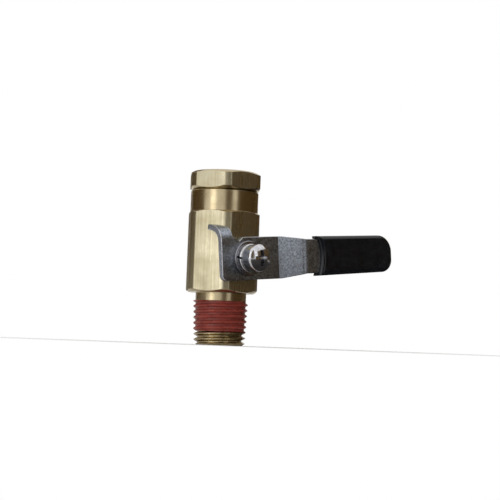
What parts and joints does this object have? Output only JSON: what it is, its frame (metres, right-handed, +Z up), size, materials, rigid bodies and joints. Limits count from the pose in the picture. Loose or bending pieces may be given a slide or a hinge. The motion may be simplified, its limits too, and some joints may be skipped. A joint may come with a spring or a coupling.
{
  "type": "mini ball valve",
  "caption": "Hexagonal brass ball valve with male and female pipe threads and a stepped steel lever with a vinyl grip.",
  "frame": {"origin": "centre of the male thread's end face, on the flow axis", "axes": "+Z up the flow axis to the female end, stem towards -Y, lever towards +X"},
  "size_m": [0.054, 0.0258, 0.0442],
  "materials": {
    "brass": "satin, turned",
    "chromed_ball": "polished",
    "seat": "matte",
    "seal_rubber": "matte",
    "sealant": "matte",
    "lever_steel": "plated",
    "screw_steel": "bright",
    "grip_vinyl": "gloss"
  },
  "bodies": {
    "valve_body": {"body": "brass", "end_cap": "brass", "thread_sealant": "sealant", "cap_gasket": "seat", "lower_seat": "seat", "upper_seat": "seat", "thrust_washer": "seat"},
    "lever_set": {"lever": "lever_steel", "lever_grip": "grip_vinyl", "stem": "brass", "stem_o_ring": "seal_rubber", "flat_washer": "screw_steel", "lock_washer": "screw_steel", "lever_screw": "screw_steel"},
    "ball": {"ball": "chromed_ball"}
  },
  "joints": [
    {"name": "lever_turn", "type": "hinge", "parent": "valve_body", "child": "lever_set", "pos_m": [0, 0, 0.0219], "axis": [0, -1, 0], "range_deg": [-5.5, 84.5]},
    {"name": "ball_turn", "type": "hinge", "parent": "valve_body", "child": "ball", "pos_m": [0, 0, 0.0219], "axis": [0, -1, 0], "range_deg": [-5.5, 84.5]}
  ],
  "couplings": [
    {"joint": "ball_turn", "follows": "lever_turn", "ratio": 1}
  ]
}
